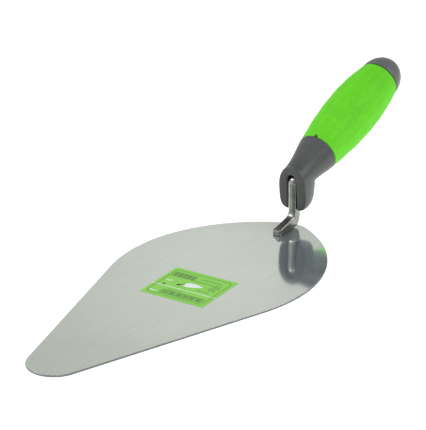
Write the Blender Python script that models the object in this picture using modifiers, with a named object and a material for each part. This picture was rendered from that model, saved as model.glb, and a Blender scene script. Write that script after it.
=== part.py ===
"""Bricklayer's trowel: a flat steel blade, a cranked steel shank and a soft-grip plastic handle.

Metres, +Z up. The blade lies flat on Z = 0 with its tip towards -X and the handle towards +X, and
the tool is symmetric about Y = 0. The origin is on the blade's underside, at its widest place.
"""
import bmesh
import bpy
from math import copysign, cos, pi, radians, sin, sqrt
from mathutils import Matrix, Vector

MM = 0.001
GAP = 0.3 * MM                      # clearance between neighbouring pieces

# Blade outline, half of it: tip arc, straight flank, shoulder arc, heel arc, end arc.
BLADE_HALF_WIDTH = 62.4 * MM
BLADE_THICKNESS = 1.3 * MM
TIP_RADIUS = 17.0 * MM
FLANK_ANGLE = radians(17.9)         # between the flank and the centre line
SHOULDER_RADIUS = 106.6 * MM
HEEL_RADIUS = 97.5 * MM
HEEL_TURN = radians(63.0)           # how far the heel arc turns before the end arc takes over

# Handle: every turned piece shares one axis, which leaves the collar seam at SEAM.
SEAM_FROM_TIP = 283.9 * MM
SEAM_HEIGHT = 44.1 * MM
HANDLE_ANGLE = radians(21.4)        # rise of the axis above the blade
GRIP_LENGTH = 79.5 * MM
GRIP_FRONT_RADIUS = 13.7 * MM
GRIP_REAR_RADIUS = 14.2 * MM
GRIP_BULGE = 3.58 * MM
GRIP_SKEW = 1.34 * MM               # moves the fattest place towards the cap
GRIP_BORE = 10.5 * MM
CAP_LENGTH = 18.2 * MM
CAP_SPIGOT = 6.0 * MM
CAP_SPIGOT_DEPTH = 12.0 * MM
CORE_RADIUS = GRIP_BORE - GAP
CORE_NECK_RADIUS = 7.2 * MM         # core inside the collar
CORE_NECK_LENGTH = 15.5 * MM
TANG_BORE = 3.9 * MM
TANG_DEPTH = 58.0 * MM

# Collar: a taper that turns into a column whose flat front has a slot for the shank.
COLLAR_WAIST_RADIUS = 9.7 * MM
COLLAR_TAPER = 26.0 * MM            # length of the taper from the seam to the waist
TAPER_EASE = 0.45                   # share of the taper that eases in and out at both ends
COLLAR_LENGTH = 40.0 * MM           # along the axis, before the front is cut off
SHROUD_HALF_WIDTH = 10.3 * MM       # at its widest height
SHROUD_WIDEST = 28.5 * MM
SHROUD_TOP = 43.4 * MM
SHROUD_BOTTOM = 13.2 * MM
ARCH_POWER = 2.1                    # 2 makes the arch above the widest height an ellipse
LOBE_POWER = 4.2                    # squarer, for the lobes below it
SHROUD_FLAT_END = 257.0 * MM        # from the tip: where the sides start to close in
SHROUD_REAR = 274.6 * MM            # from the tip
SHROUD_REAR_RISE = 10.0 * MM        # how far the underside rises to the rear
REAR_LEAN = 0.12                    # how far the rear leans out with height
REAR_LEAN_FROM = 20.0 * MM
FRONT_TOP = Vector((252.5 * MM, 0, 43.8 * MM))
FRONT_TILT = radians(5.5)           # the front leans back towards its lower end
SLOT_HALF_WIDTH = 3.5 * MM
SLOT_TOP = 37.6 * MM
SLOT_BACK = 261.6 * MM              # from the tip
TANG_HOLE = (-31.0 * MM, -10.0 * MM)  # along the axis, from the slot to the core's socket
SOCKET_MOUTH = 5.0 * MM             # the socket's cutter runs past the seam by this
KEY_ANGLE = radians(5)              # the key sits just beside the top of the seam
KEY_WIDTH = 2.0 * MM
KEY_LENGTH = 1.7 * MM
KEY_DEPTH = 1.4 * MM
KEY_ROOT = 1.2 * MM                 # how far the key reaches back into the collar
KEY_PROUD = 0.25 * MM               # how far it stands above the grip
KEY_POINT = 0.25                    # width of its point, as a share of its root

# Shank: an eight-sided bar. Each station is its inner and outer edge, from the tip and up.
SHANK_HALF_WIDTH = 2.85 * MM
NECK_CREST = 0.35                   # flat crest of the inner side, as a share of the width
FOOT_CREST = 0.72                   # the same on the foot, whose top is almost flat
SHANK_BEVEL = 0.10                  # bevels beside both flats, as a share of the depth
SHANK_HEEL = 0.72                   # flat of the outer side, as a share of the width
SHANK_NOSE = ((236.4, 4.8), (236.4, 2.1))
SHANK_FOOT = [((237.4, 5.5), (237.4, 1.6)), ((250.9, 8.9), (252.0, 1.6))]
SHANK_HEEL_BEND = [((252.3, 9.5), (255.3, 1.8)), ((253.3, 10.4), (257.9, 2.9)),
                   ((253.9, 11.7), (259.5, 4.9)), ((254.0, 13.4), (260.5, 8.1))]
SHANK_NECK = [((253.9, 16.0), (260.6, 13.6)), ((253.3, 30.0), (260.0, 28.3)),
              ((253.4, 32.6), (260.0, 30.3)), ((254.6, 34.8), (260.6, 31.5)),
              ((257.0, 36.6), (261.5, 32.2))]
NOSE_SCALE = 0.75                   # width of the blunt nose, as a share of the bar's
TANG_START = 23.5 * MM              # ahead of the seam
TANG_SEAM_SCALE = 0.95
TANG_TIP_SCALE = 0.7
TANG_CLEARANCE = 3.0 * MM           # empty bore beyond the tang's end

# Weld nugget between the foot and the blade.
WELD_FROM_TIP = 242.4 * MM
WELD_LENGTH = 12.6 * MM
WELD_WIDTH = 2.6 * MM
WELD_THICKNESS = 0.5 * MM

# Label, stuck to the blade a little askew.
LABEL_FROM_TIP = 140.8 * MM
LABEL_OFFSET = -1.4 * MM
LABEL_SIZE = (41.1 * MM, 44.8 * MM)
LABEL_THICKNESS = 0.15 * MM
LABEL_TWIST = radians(3.4)

TURN_STEPS = 48


def clear_scene():
    for item in list(bpy.data.objects):
        bpy.data.objects.remove(item, do_unlink=True)


def make_collection(name):
    collection = bpy.data.collections.new(name)
    bpy.context.scene.collection.children.link(collection)
    return collection


def make_material(name, colour, roughness, metallic=0.0):
    material = bpy.data.materials.new(name)
    material.use_nodes = True
    shader = material.node_tree.nodes["Principled BSDF"]
    shader.inputs["Base Color"].default_value = (*colour, 1.0)
    shader.inputs["Roughness"].default_value = roughness
    shader.inputs["Metallic"].default_value = metallic
    return material


def add_object(name, data, collection, parent, material=None):
    item = bpy.data.objects.new(name, data)
    collection.objects.link(item)
    item.parent = parent
    if material:
        data.materials.append(material)
    return item


def mesh_from(name, bm):
    mesh = bpy.data.meshes.new(name)
    bm.to_mesh(mesh)
    bm.free()
    return mesh


def evaluated_mesh(item):
    bpy.context.view_layer.update()
    graph = bpy.context.evaluated_depsgraph_get()
    return bpy.data.meshes.new_from_object(item.evaluated_get(graph), depsgraph=graph)


def shade(mesh, angle):
    mesh.shade_smooth()
    mesh.set_sharp_from_angle(angle=radians(angle))


def turned(name, profile, collection, parent, material=None, closed=False):
    """A solid of revolution about local Z. The profile is (radius, height), down the outside."""
    count = len(profile)
    edges = [(i, i + 1) for i in range(count - 1)]
    if closed:
        edges.append((count - 1, 0))
    line = bpy.data.meshes.new(name)
    line.from_pydata([(radius, 0, height) for radius, height in profile], edges, [])
    guide = add_object(name, line, collection, parent)
    screw = guide.modifiers.new("Turn", "SCREW")
    screw.steps = screw.render_steps = TURN_STEPS
    screw.use_merge_vertices = True
    screw.merge_threshold = 0.00001
    mesh = evaluated_mesh(guide)
    bm = bmesh.new()
    bm.from_mesh(mesh)
    bmesh.ops.remove_doubles(bm, verts=bm.verts, dist=0.000005)
    bm.to_mesh(mesh)
    bm.free()
    guide.modifiers.clear()
    guide.data = mesh
    if material:
        mesh.materials.append(material)
    shade(mesh, 35)
    return guide


def flat_solid(name, outline, thickness, collection, parent, material=None):
    """A closed outline in local XY, filled and given a thickness about Z = 0."""
    curve = bpy.data.curves.new(name, "CURVE")
    curve.dimensions = "2D"
    curve.fill_mode = "BOTH"
    curve.extrude = thickness / 2
    spline = curve.splines.new("POLY")
    spline.points.add(len(outline) - 1)
    for point, (x, y) in zip(spline.points, outline):
        point.co = (x, y, 0, 1)
    spline.use_cyclic_u = True
    guide = add_object(name + "_outline", curve, collection, parent)
    mesh = evaluated_mesh(guide)
    bpy.data.objects.remove(guide, do_unlink=True)
    bm = bmesh.new()
    bm.from_mesh(mesh)
    bmesh.ops.remove_doubles(bm, verts=bm.verts, dist=0.000005)
    bmesh.ops.recalc_face_normals(bm, faces=bm.faces)
    bm.to_mesh(mesh)
    bm.free()
    mesh.name = name
    return add_object(name, mesh, collection, parent, material)


def lofted(name, rings, collection, parent, material=None):
    """A closed solid through rings of equally many points."""
    bm = bmesh.new()
    loops = [[bm.verts.new(point) for point in ring] for ring in rings]
    count = len(rings[0])
    for low, high in zip(loops, loops[1:]):
        for i in range(count):
            j = (i + 1) % count
            bm.faces.new((low[i], low[j], high[j], high[i]))
    bm.faces.new(list(reversed(loops[0])))
    bm.faces.new(loops[-1])
    bmesh.ops.recalc_face_normals(bm, faces=bm.faces)
    return add_object(name, mesh_from(name, bm), collection, parent, material)


def box_cutter(name, size, cutters, parent):
    bm = bmesh.new()
    bmesh.ops.create_cube(bm, size=1)
    bmesh.ops.scale(bm, vec=size, verts=bm.verts)
    return as_cutter(add_object(name, mesh_from(name, bm), cutters, parent))


def rod_cutter(name, radius, start, end, cutters, parent):
    """A rod along the parent's Z axis, from one height to the other."""
    bm = bmesh.new()
    bmesh.ops.create_cone(bm, cap_ends=True, segments=TURN_STEPS, radius1=radius,
                          radius2=radius, depth=end - start)
    bmesh.ops.translate(bm, vec=(0, 0, (start + end) / 2), verts=bm.verts)
    return as_cutter(add_object(name, mesh_from(name, bm), cutters, parent))


def as_cutter(item):
    item.hide_render = True
    item.display_type = "WIRE"
    return item


def join_or_cut(item, other, operation):
    change = item.modifiers.new(operation.title(), "BOOLEAN")
    change.operation = operation
    change.solver = "EXACT"
    change.object = other


def arc(start, heading, radius, turn, steps):
    """Points after START along a right-hand arc, and the heading at its end."""
    centre = start + radius * Vector((sin(heading), -cos(heading)))
    points = []
    for step in range(1, steps + 1):
        angle = heading - turn * step / steps
        points.append(centre + radius * Vector((-sin(angle), cos(angle))))
    return points, heading - turn


def blade_half_outline():
    """The outline's +Y half from the tip to the heel, as points from the tip."""
    straight = (BLADE_HALF_WIDTH - TIP_RADIUS * cos(FLANK_ANGLE)
                - SHOULDER_RADIUS * (1 - cos(FLANK_ANGLE))) / sin(FLANK_ANGLE)
    points = [Vector((0, 0))]
    piece, heading = arc(points[-1], pi / 2, TIP_RADIUS, pi / 2 - FLANK_ANGLE, 14)
    points += piece
    points.append(points[-1] + straight * Vector((cos(heading), sin(heading))))
    piece, heading = arc(points[-1], heading, SHOULDER_RADIUS, FLANK_ANGLE, 8)
    points += piece
    widest = points[-1].x
    piece, heading = arc(points[-1], heading, HEEL_RADIUS, HEEL_TURN, 22)
    points += piece
    end_radius = points[-1].y / cos(heading)
    piece, heading = arc(points[-1], heading, end_radius, pi / 2 + heading, 6)
    points += piece
    return points, widest


def build_blade(half, parts, frame, material):
    mirrored = [Vector((point.x, -point.y)) for point in reversed(half[1:-1])]
    blade = flat_solid("blade", half + mirrored, BLADE_THICKNESS, parts, frame, material)
    blade.location.z = BLADE_THICKNESS / 2
    return blade


def bar_ring(inner, outer, crest=NECK_CREST, width_scale=1.0):
    """One eight-sided section of the shank between its inner and outer edge."""
    inner = Vector((inner[0], 0, inner[1])) * MM
    outer = Vector((outer[0], 0, outer[1])) * MM
    wide = SHANK_HALF_WIDTH * width_scale
    outline = [(0, crest), (SHANK_BEVEL, 1), (1 - SHANK_BEVEL, 1), (1, SHANK_HEEL)]
    outline += [(depth, -side) for depth, side in reversed(outline)]
    return [inner.lerp(outer, depth) + Vector((0, side * wide, 0)) for depth, side in outline]


def axis_point(distance):
    """A point of the handle's axis, measured from the collar seam towards the cap."""
    return Vector((SEAM_FROM_TIP + distance * cos(HANDLE_ANGLE), 0,
                   SEAM_HEIGHT + distance * sin(HANDLE_ANGLE)))


def tang_ring(distance, scale):
    up = Vector((-sin(HANDLE_ANGLE), 0, cos(HANDLE_ANGLE))) * SHANK_HALF_WIDTH * scale
    middle = axis_point(distance)
    top, bottom = (middle + up) / MM, (middle - up) / MM
    return bar_ring((top.x, top.z), (bottom.x, bottom.z), width_scale=scale)


def build_shank(parts, cutters, frame, material):
    rings = [bar_ring(*SHANK_NOSE, crest=FOOT_CREST, width_scale=NOSE_SCALE)]
    rings += [bar_ring(inner, outer, crest=FOOT_CREST) for inner, outer in SHANK_FOOT]
    for step, (inner, outer) in enumerate(SHANK_HEEL_BEND):
        share = (step + 1) / len(SHANK_HEEL_BEND)
        rings.append(bar_ring(inner, outer, crest=FOOT_CREST + (NECK_CREST - FOOT_CREST) * share))
    rings += [bar_ring(inner, outer) for inner, outer in SHANK_NECK]
    rings.append(tang_ring(-TANG_START, 1.0))
    rings.append(tang_ring(0, TANG_SEAM_SCALE))
    rings.append(tang_ring(TANG_DEPTH, TANG_TIP_SCALE))
    shank = lofted("shank", rings, parts, frame, material)
    size = (WELD_LENGTH, WELD_WIDTH + 2 * GAP, 2 * (WELD_THICKNESS + GAP))
    pocket = box_cutter("weld_pocket", size, cutters, frame)
    pocket.location = (WELD_FROM_TIP + GAP, 0, BLADE_THICKNESS + GAP)
    join_or_cut(shank, pocket, "DIFFERENCE")
    return shank


def stadium(length, width, steps):
    """A slot-shaped outline about the origin, long in X."""
    radius = width / 2
    points = []
    for side in (1, -1):
        for step in range(steps + 1):
            angle = -pi / 2 + pi * step / steps
            points.append((side * (length / 2 - radius + radius * cos(angle)),
                           side * radius * sin(angle)))
    return points


def build_weld(parts, frame, material):
    outline = stadium(WELD_LENGTH - GAP, WELD_WIDTH, 8)
    weld = flat_solid("foot_weld", outline, WELD_THICKNESS, parts, frame, material)
    weld.location = (WELD_FROM_TIP - GAP, 0, BLADE_THICKNESS + GAP + WELD_THICKNESS / 2)
    return weld


def grip_radius(share):
    """Outside radius of the grip at a share of its length, from the collar to the cap."""
    straight = GRIP_FRONT_RADIUS + (GRIP_REAR_RADIUS - GRIP_FRONT_RADIUS) * share
    return straight + 4 * share * (1 - share) * (GRIP_BULGE - GRIP_SKEW * (0.5 - share))


def key_prism(name, grow, parts, handle_axis):
    """A three-sided key on the seam, its point towards the cap, grown by a clearance."""
    half = KEY_WIDTH / 2 + grow
    point = KEY_POINT * half
    tip = KEY_LENGTH + 1.4 * grow
    low = GRIP_FRONT_RADIUS - KEY_DEPTH - grow
    high = GRIP_FRONT_RADIUS + KEY_PROUD + 6 * grow
    rings = []
    for radius in (low, high):
        rings.append([(-radius, -half, -KEY_ROOT), (-radius, half, -KEY_ROOT),
                      (-radius, point, tip), (-radius, -point, tip)])
    key = lofted(name, rings, parts, handle_axis)
    key.rotation_euler.z = KEY_ANGLE
    return as_cutter(key)


def build_grip(parts, cutters, handle_axis, material):
    steps = 16
    front, rear = GAP / 2, GRIP_LENGTH - GAP / 2
    outside = []
    for step in range(steps, -1, -1):
        share = step / steps
        outside.append((grip_radius(share), front + (rear - front) * share))
    profile = [(GRIP_BORE, rear)] + outside + [(GRIP_BORE, front)]
    grip = turned("grip_sleeve", profile, parts, handle_axis, material, closed=True)
    join_or_cut(grip, key_prism("key_notch", GAP, cutters, handle_axis), "DIFFERENCE")
    return grip


def build_core(parts, handle_axis, material):
    rear = GRIP_LENGTH - GAP / 2
    socket_floor = GRIP_LENGTH - CAP_SPIGOT_DEPTH - GAP
    bore_floor = TANG_DEPTH + TANG_CLEARANCE
    profile = [(0, socket_floor), (CAP_SPIGOT + GAP, socket_floor), (CAP_SPIGOT + GAP, rear),
               (CORE_RADIUS, rear), (CORE_RADIUS, GAP / 2), (CORE_NECK_RADIUS, GAP / 2),
               (CORE_NECK_RADIUS, -CORE_NECK_LENGTH), (TANG_BORE, -CORE_NECK_LENGTH),
               (TANG_BORE, bore_floor), (0, bore_floor)]
    return turned("handle_core", profile, parts, handle_axis, material)


def build_cap(parts, handle_axis, material):
    """A long dome that carries on from the grip, with a spigot into the core."""
    steps = 14
    base = GRIP_LENGTH + GAP / 2
    profile = []
    for step in range(steps + 1):
        angle = (pi / 2) * (1 - step / steps)
        profile.append((GRIP_REAR_RADIUS * cos(angle), base + CAP_LENGTH * sin(angle)))
    profile += [(CAP_SPIGOT, base), (CAP_SPIGOT, GRIP_LENGTH - CAP_SPIGOT_DEPTH),
                (0, GRIP_LENGTH - CAP_SPIGOT_DEPTH)]
    profile[0] = (0, base + CAP_LENGTH)
    return turned("end_cap", profile, parts, handle_axis, material)


def collar_profile():
    """A smooth taper from the seam to the waist, then straight to the front."""
    steps = 9
    profile = [(0, -GAP / 2)]
    for step in range(steps + 1):
        share = step / steps
        ease = share * share * (3 - 2 * share)
        blend = TAPER_EASE * ease + (1 - TAPER_EASE) * share * (2 - share)
        radius = GRIP_FRONT_RADIUS + (COLLAR_WAIST_RADIUS - GRIP_FRONT_RADIUS) * blend
        profile.append((radius, -GAP / 2 - COLLAR_TAPER * share))
    profile += [(COLLAR_WAIST_RADIUS, -COLLAR_LENGTH), (0, -COLLAR_LENGTH)]
    return profile


def shroud_ring(x):
    """The column's outline at one distance from the tip: an arch above two squarish lobes."""
    share = max(0.0, (x - SHROUD_FLAT_END) / (SHROUD_REAR - SHROUD_FLAT_END))
    full = sqrt(1 - share * share)
    half = SHROUD_HALF_WIDTH * full
    bottom = SHROUD_BOTTOM + SHROUD_REAR_RISE * (1 - full)
    ring = []
    steps = 36
    for step in range(steps):
        angle = 2 * pi * step / steps
        power = ARCH_POWER if sin(angle) >= 0 else LOBE_POWER
        reach = SHROUD_TOP - SHROUD_WIDEST if sin(angle) >= 0 else SHROUD_WIDEST - bottom
        y = half * copysign(abs(cos(angle)) ** (2 / power), cos(angle))
        z = SHROUD_WIDEST + reach * copysign(abs(sin(angle)) ** (2 / power), sin(angle))
        lean = REAR_LEAN * max(0.0, z - REAR_LEAN_FROM) * share
        ring.append(Vector((x + lean, y, z)))
    return ring


def build_shroud(cutters, frame):
    """The column under the collar, from ahead of the cut front to its rounded rear."""
    rings = [shroud_ring(FRONT_TOP.x - 4 * MM)]
    steps = 10
    for step in range(steps + 1):
        share = 0.985 * sin((pi / 2) * step / steps)
        rings.append(shroud_ring(SHROUD_FLAT_END + (SHROUD_REAR - SHROUD_FLAT_END) * share))
    return as_cutter(lofted("shroud_body", rings, cutters, frame))


def front_cutter(cutters, frame):
    """Takes off everything ahead of the collar's front face."""
    size = Vector((20 * MM, 40 * MM, 80 * MM))
    cutter = box_cutter("front_cutter", size, cutters, frame)
    lean = Matrix.Rotation(-FRONT_TILT, 4, "Y")
    cutter.rotation_euler = lean.to_euler()
    cutter.location = FRONT_TOP + lean @ Vector((-size.x / 2, 0, -15 * MM))
    return cutter


def slot_cutter(cutters, frame):
    """An arched slot from the front to just behind the shank's neck, open at the bottom."""
    bottom = SHROUD_BOTTOM - 6 * MM
    centre = SLOT_TOP - SLOT_HALF_WIDTH
    outline = [(SLOT_HALF_WIDTH, bottom)]
    steps = 12
    for step in range(steps + 1):
        angle = pi * step / steps
        outline.append((SLOT_HALF_WIDTH * cos(angle), centre + SLOT_HALF_WIDTH * sin(angle)))
    outline.append((-SLOT_HALF_WIDTH, bottom))
    front = FRONT_TOP.x - 8 * MM
    rings = [[Vector((x, y, z)) for y, z in outline] for x in (front, SLOT_BACK)]
    return as_cutter(lofted("slot_cutter", rings, cutters, frame))


def build_collar(parts, cutters, frame, handle_axis, material):
    collar = turned("front_collar", collar_profile(), parts, handle_axis, material)
    join_or_cut(collar, build_shroud(cutters, frame), "UNION")
    join_or_cut(collar, key_prism("seam_key", 0, cutters, handle_axis), "UNION")
    join_or_cut(collar, front_cutter(cutters, frame), "DIFFERENCE")
    join_or_cut(collar, slot_cutter(cutters, frame), "DIFFERENCE")
    tang_hole = rod_cutter("tang_hole", TANG_BORE, *TANG_HOLE, cutters, handle_axis)
    join_or_cut(collar, tang_hole, "DIFFERENCE")
    socket_start = -CORE_NECK_LENGTH - GAP
    socket = rod_cutter("core_socket", CORE_NECK_RADIUS + GAP, socket_start, SOCKET_MOUTH, cutters,
                        handle_axis)
    join_or_cut(collar, socket, "DIFFERENCE")
    return collar


def build_label(parts, frame, material):
    half_x, half_y = LABEL_SIZE[0] / 2, LABEL_SIZE[1] / 2
    outline = [(half_x, half_y), (-half_x, half_y), (-half_x, -half_y), (half_x, -half_y)]
    label = flat_solid("label", outline, LABEL_THICKNESS, parts, frame, material)
    label.location = (LABEL_FROM_TIP, LABEL_OFFSET, BLADE_THICKNESS + GAP + LABEL_THICKNESS / 2)
    label.rotation_euler.z = LABEL_TWIST
    return label


def main():
    clear_scene()
    parts = make_collection("hand_trowel")
    cutters = make_collection("cutters")
    half, widest = blade_half_outline()

    frame = add_object("tip_frame", None, parts, None)
    frame.location.x = -widest
    handle_axis = add_object("handle_axis", None, parts, frame)
    handle_axis.location = axis_point(0)
    handle_axis.rotation_euler.y = pi / 2 - HANDLE_ANGLE

    brushed = make_material("brushed_blade_steel", (0.52, 0.55, 0.50), 0.22, 1.0)
    forged = make_material("polished_shank_steel", (0.42, 0.43, 0.41), 0.25, 1.0)
    weld = make_material("weld_metal", (0.30, 0.30, 0.29), 0.45, 1.0)
    dark = make_material("dark_collar_plastic", (0.075, 0.080, 0.082), 0.50)
    cap = make_material("grey_cap_plastic", (0.11, 0.12, 0.12), 0.45)
    core = make_material("core_plastic", (0.06, 0.06, 0.06), 0.60)
    green = make_material("green_soft_grip", (0.14, 0.66, 0.03), 0.50)
    vinyl = make_material("green_label_film", (0.25, 0.71, 0.09), 0.40)

    build_blade(half, parts, frame, brushed)
    build_shank(parts, cutters, frame, forged)
    build_weld(parts, frame, weld)
    build_core(parts, handle_axis, core)
    build_collar(parts, cutters, frame, handle_axis, dark)
    build_grip(parts, cutters, handle_axis, green)
    build_cap(parts, handle_axis, cap)
    build_label(parts, frame, vinyl)


main()
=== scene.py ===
"""Studio picture of the bricklayer's trowel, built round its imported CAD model.

The blade, the handle's core and the end cap are the CAD solids with finished materials. The shank,
its weld, the collar, the grip and the label are finer pieces that stand for their CAD nodes.
"""
from math import copysign, cos, pi, radians, sin, sqrt

import bmesh
import bpy
import numpy as np
from mathutils import Matrix, Vector


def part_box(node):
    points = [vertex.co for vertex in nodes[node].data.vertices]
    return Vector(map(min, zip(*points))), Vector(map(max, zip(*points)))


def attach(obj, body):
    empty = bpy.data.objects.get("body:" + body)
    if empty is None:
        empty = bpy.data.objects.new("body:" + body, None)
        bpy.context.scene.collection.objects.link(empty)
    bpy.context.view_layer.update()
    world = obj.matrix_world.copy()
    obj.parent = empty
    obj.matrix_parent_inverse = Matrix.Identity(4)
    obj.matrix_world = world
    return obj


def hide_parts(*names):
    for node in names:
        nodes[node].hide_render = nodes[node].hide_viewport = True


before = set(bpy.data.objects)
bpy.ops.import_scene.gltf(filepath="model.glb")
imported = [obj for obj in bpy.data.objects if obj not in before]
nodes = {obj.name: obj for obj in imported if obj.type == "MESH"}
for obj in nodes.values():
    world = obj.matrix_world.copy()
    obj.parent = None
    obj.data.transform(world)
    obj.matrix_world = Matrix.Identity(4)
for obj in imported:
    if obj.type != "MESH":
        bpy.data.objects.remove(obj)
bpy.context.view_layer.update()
blade_low, blade_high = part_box("blade")
label_low, label_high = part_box("label")

MM = 0.001
TIP = blade_low.x                       # the design's lengths count from the blade's tip
BLADE_TOP = blade_high.z

# The handle's axis and outside shape, as in the CAD design.
HANDLE_ANGLE = radians(21.4)
SEAM = Vector((TIP + 283.9 * MM, 0, 44.1 * MM))
GRIP_LENGTH = 79.5 * MM
GRIP_FRONT_RADIUS = 13.7 * MM
GRIP_REAR_RADIUS = 14.2 * MM
GRIP_BULGE = 3.58 * MM
GRIP_SKEW = 1.34 * MM
GRIP_BORE = 10.5 * MM
HALF_GAP = 0.15 * MM

# Moulded cells of the grip: rows along the handle, mirrored about the mould's middle line.
CELL_MIDDLE = radians(7.0)
CELL_ROWS = 16
LAST_CELL = (3, 4)                      # number of the last cell in even and odd rows
CELL_PITCH = 16.2 * MM
CELL_FIRST = (16.3 * MM, 8.2 * MM)      # first cell of even and odd rows, from the collar seam
CELL_LENGTH = 9.2 * MM
CELL_WIDTH = 4.5 * MM
CELL_CORNER = 1.5 * MM
CELL_RELIEF = 0.14 * MM
CELL_EDGE = 0.42 * MM                   # half the width of a cell's sloping edge
GROOVE_DEPTH = 0.06 * MM
GROOVE_PLACE = 0.5 * CELL_EDGE          # outside the cell's outline
GROOVE_SPREAD = 0.9 * CELL_EDGE
CELLS_FADE = 2.5 * MM                   # the relief fades out towards both ends of the sleeve
CAP_GROOVE = 0.3 * MM                   # the sleeve stops this much short of the cap
LIP = 0.35 * MM                         # rounding of the sleeve's two ends
GROOVE_SHADE = "groove"                       # attribute of painted shade: 1 at the foot of the cells' edges
# painted shade in the grooves and in the channels between the cells
SHADE_IN_GROOVE, SHADE_IN_CHANNEL = 0.65, 0.35

# The key on the collar's seam.
KEY_ANGLE = radians(5)
KEY_WIDTH = 2.0 * MM
KEY_LENGTH = 1.7 * MM
KEY_TIP = 0.25                          # width of its tip, as a share of its root's
KEY_HEIGHT = 0.25 * MM                  # how far it stands proud
KEY_ROOT = 1.4 * MM                     # and how deep it goes into the collar
KEY_END_GAP, KEY_SIDE_GAP = 0.3 * MM, 0.15 * MM
KEY_POCKET = 1.6 * MM                   # depth of the sleeve's pocket round it


def link(item):
    bpy.context.scene.collection.objects.link(item)
    return item


def add_mesh(name, vertices, faces, material=None, smooth=True):
    mesh = bpy.data.meshes.new(name)
    mesh.from_pydata(vertices, [], faces)
    mesh.validate()
    if smooth:
        mesh.shade_smooth()
    if material:
        mesh.materials.append(material)
    return link(bpy.data.objects.new(name, mesh))


def finished(item, slot, *replaced):
    """Puts a piece on the trowel's one body and hides the CAD nodes that it stands for."""
    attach(item, "root")
    if replaced:
        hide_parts(*replaced)
    return item


def apply_modifiers(item):
    bpy.context.view_layer.update()
    graph = bpy.context.evaluated_depsgraph_get()
    mesh = bpy.data.meshes.new_from_object(item.evaluated_get(graph), depsgraph=graph)
    item.modifiers.clear()
    item.data = mesh
    return item


def handle_matrix():
    """Local +Z runs along the handle from the seam to the cap, and local -X is up."""
    return Matrix.Translation(SEAM) @ Matrix.Rotation(pi / 2 - HANDLE_ANGLE, 4, "Y")


# ---------------------------------------------------------------- materials

NOISE_ROUGHNESS = 0.55


class Nodes:
    """A material's node tree, with short calls for the nodes that the finishes use."""

    def __init__(self, name):
        self.material = bpy.data.materials.new(name)
        self.material.use_nodes = True
        self.tree = self.material.node_tree
        self.shader = self.tree.nodes["Principled BSDF"]
        self.place = self.tree.nodes.new("ShaderNodeTexCoord").outputs["Object"]

    def add(self, kind, **settings):
        node = self.tree.nodes.new("ShaderNode" + kind)
        for key, value in settings.items():
            setattr(node, key, value)
        return node

    def join(self, source, socket):
        self.tree.links.new(source, socket)

    def scaled(self, scale):
        node = self.add("Mapping")
        node.inputs["Scale"].default_value = scale
        self.join(self.place, node.inputs["Vector"])
        return node.outputs["Vector"]

    def noise(self, scale, detail=3.0, warp=0.0):
        """Noise from 0 to 1, its scale one number or one for each axis, per metre."""
        if isinstance(scale, (int, float)):
            scale = (scale, scale, scale)
        node = self.add("TexNoise")
        node.inputs["Scale"].default_value = 1.0
        node.inputs["Detail"].default_value = detail
        node.inputs["Roughness"].default_value = NOISE_ROUGHNESS
        node.inputs["Distortion"].default_value = warp
        self.join(self.scaled(scale), node.inputs["Vector"])
        return node.outputs["Fac"]

    def ramp(self, source, stops):
        """The source turned into other values by (position, value) stops, numbers or colours."""
        node = self.add("ValToRGB")
        ramp = node.color_ramp
        while len(ramp.elements) < len(stops):
            ramp.elements.new(0.5)
        for element, (position, value) in zip(ramp.elements, stops):
            element.position = position
            colour = (value,) * 3 if isinstance(value, (int, float)) else value
            element.color = (*colour, 1.0)
        self.join(source, node.inputs["Fac"])
        return node.outputs["Color"]

    def math(self, operation, a, b):
        node = self.add("Math", operation=operation)
        for socket, value in zip(node.inputs, (a, b)):
            if isinstance(value, (int, float)):
                socket.default_value = value
            else:
                self.join(value, socket)
        return node.outputs["Value"]

    def mix(self, share, a, b):
        """From a at share 0 to b at share 1."""
        node = self.add("Mix", data_type="RGBA")
        for socket, value in zip((node.inputs[0], node.inputs[6], node.inputs[7]), (share, a, b)):
            if isinstance(value, (int, float)):
                socket.default_value = value
            elif isinstance(value, tuple):
                socket.default_value = (*value, 1.0)
            else:
                self.join(value, socket)
        return node.outputs[2]

    def bump(self, height, distance, strength=1.0, base=None):
        """A normal from a height, on top of the base normal if there is one."""
        node = self.add("Bump")
        node.inputs["Distance"].default_value = distance
        node.inputs["Strength"].default_value = strength
        self.join(height, node.inputs["Height"])
        if base:
            self.join(base, node.inputs["Normal"])
        return node.outputs["Normal"]

    def finish(self, colour, roughness, normal=None, **fixed):
        """Joins the looks to the shader and sets its other sockets, spaces written as _."""
        self.join(colour, self.shader.inputs["Base Color"])
        self.join(roughness, self.shader.inputs["Roughness"])
        if normal:
            self.join(normal, self.shader.inputs["Normal"])
        for socket, value in fixed.items():
            self.shader.inputs[socket.replace("_", " ")].default_value = value
        return self.material


BLADE_BOW = 0.010                       # slope of the sheet's slight bow, seen in its reflections


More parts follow.
